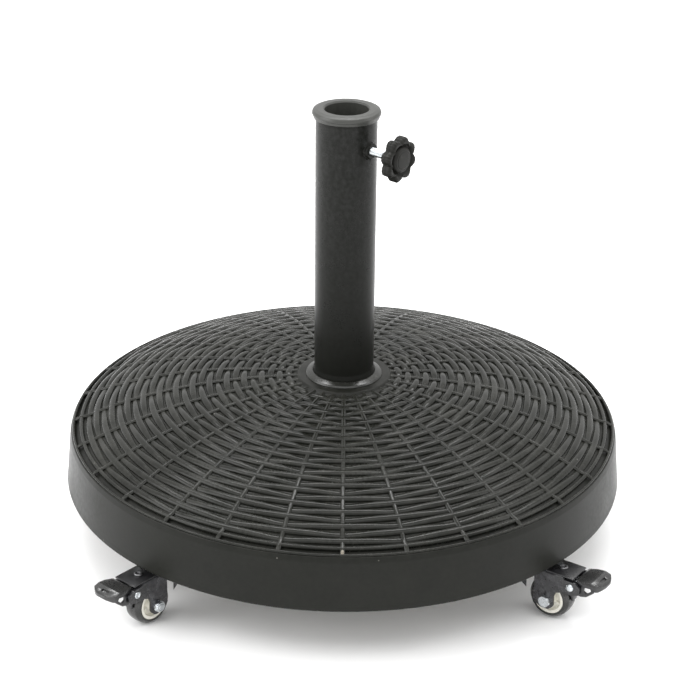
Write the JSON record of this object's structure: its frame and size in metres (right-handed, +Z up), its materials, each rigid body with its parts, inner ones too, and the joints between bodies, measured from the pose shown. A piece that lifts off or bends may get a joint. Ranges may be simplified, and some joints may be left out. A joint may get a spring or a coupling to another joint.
{
  "type": "parasol base",
  "caption": "Round weighted parasol base with a woven-effect domed top, an upright steel tube with reducer collar and clamp knob, on braked swivel casters",
  "frame": {"origin": "on the ground plane under the middle of the disc and tube, wheels resting on Z 0", "axes": "Z up along the pole; -Y is the front, the side with the two visible casters; X to the right seen from the front"},
  "size_m": [0.52, 0.52, 0.4115],
  "materials": {
    "resin": "satin black, slightly olive, fine mould grain",
    "ballast": "filled resin casting, rough grey",
    "painted_steel": "satin black powder coat",
    "zinc": "bright zinc plating",
    "collar_plastic": "satin black nylon",
    "knob_plastic": "black nylon, lightly textured",
    "pad_nylon": "natural nylon",
    "pressed_steel": "glossy black lacquer",
    "hub_plastic": "cream polypropylene",
    "tyre_rubber": "smooth black tread",
    "pedal_plastic": "glossy black nylon",
    "rivet_steel": "dark oiled steel"
  },
  "bodies": {
    "base": {"base_shell": "resin", "ballast_core": "ballast", "woven_panel": "resin", "upright_tube": "painted_steel", "tube_plug": "rivet_steel", "fixing_bolt": "zinc", "fixing_washer": "zinc", "collar": "collar_plastic", "weld_nut": "painted_steel", "kingpins": "rivet_steel", "plate_screws": "zinc", "c1_plate": "pressed_steel", "c2_plate": "pressed_steel", "c3_plate": "pressed_steel", "c4_plate": "pressed_steel"},
    "clamp_foot": {"clamp_pad": "pad_nylon"},
    "clamp_screw": {"clamp_stud": "zinc", "knob": "knob_plastic", "knob_cap": "knob_plastic"},
    "c1_swivel_fork": {"c1_fork": "pressed_steel", "c1_axle_bolt": "zinc", "c1_axle_nut": "zinc", "c1_brake_pin": "zinc", "c1_leaf": "pressed_steel", "c1_leaf_screw": "rivet_steel"},
    "c1_wheel": {"c1_hub": "hub_plastic", "c1_tyre": "tyre_rubber"},
    "c1_brake": {"c1_lever": "pressed_steel", "c1_pedal": "pedal_plastic"},
    "c2_swivel_fork": {"c2_fork": "pressed_steel", "c2_axle_bolt": "zinc", "c2_axle_nut": "zinc", "c2_brake_pin": "zinc", "c2_leaf": "pressed_steel", "c2_leaf_screw": "rivet_steel"},
    "c2_wheel": {"c2_hub": "hub_plastic", "c2_tyre": "tyre_rubber"},
    "c2_brake": {"c2_lever": "pressed_steel", "c2_pedal": "pedal_plastic"},
    "c3_swivel_fork": {"c3_fork": "pressed_steel", "c3_axle_bolt": "zinc", "c3_axle_nut": "zinc", "c3_brake_pin": "zinc", "c3_leaf": "pressed_steel", "c3_leaf_screw": "rivet_steel"},
    "c3_wheel": {"c3_hub": "hub_plastic", "c3_tyre": "tyre_rubber"},
    "c3_brake": {"c3_lever": "pressed_steel", "c3_pedal": "pedal_plastic"},
    "c4_swivel_fork": {"c4_fork": "pressed_steel", "c4_axle_bolt": "zinc", "c4_axle_nut": "zinc", "c4_brake_pin": "zinc", "c4_leaf": "pressed_steel", "c4_leaf_screw": "rivet_steel"},
    "c4_wheel": {"c4_hub": "hub_plastic", "c4_tyre": "tyre_rubber"},
    "c4_brake": {"c4_lever": "pressed_steel", "c4_pedal": "pedal_plastic"}
  },
  "joints": [
    {"name": "clamp_slide", "type": "slide", "parent": "base", "child": "clamp_foot", "axis": [0.7716, -0.6361, 0], "range_m": [-0.0075, 0.00125]},
    {"name": "clamp_turn", "type": "hinge", "parent": "clamp_foot", "child": "clamp_screw", "pos_m": [0.02315, -0.01908, 0.378], "axis": [0.7716, -0.6361, 0], "range_deg": [-2160, 360]},
    {"name": "c1_swivel", "type": "hinge", "parent": "base", "child": "c1_swivel_fork", "pos_m": [-0.15913, -0.17428, 0.0501], "axis": [0, 0, 1], "continuous": true},
    {"name": "c1_roll", "type": "hinge", "parent": "c1_swivel_fork", "child": "c1_wheel", "pos_m": [-0.16978, -0.18656, 0.02], "axis": [0.7559, -0.6547, 0], "continuous": true},
    {"name": "c1_brake_tilt", "type": "hinge", "parent": "c1_swivel_fork", "child": "c1_brake", "pos_m": [-0.18467, -0.20375, 0.041], "axis": [-0.7559, 0.6547, 0], "range_deg": [0, 8]},
    {"name": "c2_swivel", "type": "hinge", "parent": "base", "child": "c2_swivel_fork", "pos_m": [0.17428, -0.15913, 0.0501], "axis": [0, 0, 1], "continuous": true},
    {"name": "c2_roll", "type": "hinge", "parent": "c2_swivel_fork", "child": "c2_wheel", "pos_m": [0.18768, -0.16832, 0.02], "axis": [0.565, 0.8251, 0], "continuous": true},
    {"name": "c2_brake_tilt", "type": "hinge", "parent": "c2_swivel_fork", "child": "c2_brake", "pos_m": [0.20645, -0.18117, 0.041], "axis": [-0.565, -0.8251, 0], "range_deg": [0, 8]},
    {"name": "c3_swivel", "type": "hinge", "parent": "base", "child": "c3_swivel_fork", "pos_m": [0.15913, 0.17428, 0.0501], "axis": [0, 0, 1], "continuous": true},
    {"name": "c3_roll", "type": "hinge", "parent": "c3_swivel_fork", "child": "c3_wheel", "pos_m": [0.1709, 0.18548, 0.02], "axis": [-0.6896, 0.7242, 0], "continuous": true},
    {"name": "c3_brake_tilt", "type": "hinge", "parent": "c3_swivel_fork", "child": "c3_brake", "pos_m": [0.18738, 0.20117, 0.041], "axis": [0.6896, -0.7242, 0], "range_deg": [0, 8]},
    {"name": "c4_swivel", "type": "hinge", "parent": "base", "child": "c4_swivel_fork", "pos_m": [-0.17428, 0.15913, 0.0501], "axis": [0, 0, 1], "continuous": true},
    {"name": "c4_roll", "type": "hinge", "parent": "c4_swivel_fork", "child": "c4_wheel", "pos_m": [-0.18718, 0.169, 0.02], "axis": [-0.6074, -0.7944, 0], "continuous": true},
    {"name": "c4_brake_tilt", "type": "hinge", "parent": "c4_swivel_fork", "child": "c4_brake", "pos_m": [-0.20526, 0.18282, 0.041], "axis": [0.6074, 0.7944, 0], "range_deg": [0, 8]}
  ],
  "couplings": [
    {"joint": "clamp_turn", "follows": "clamp_slide", "rad_per_m": 5026.5}
  ]
}
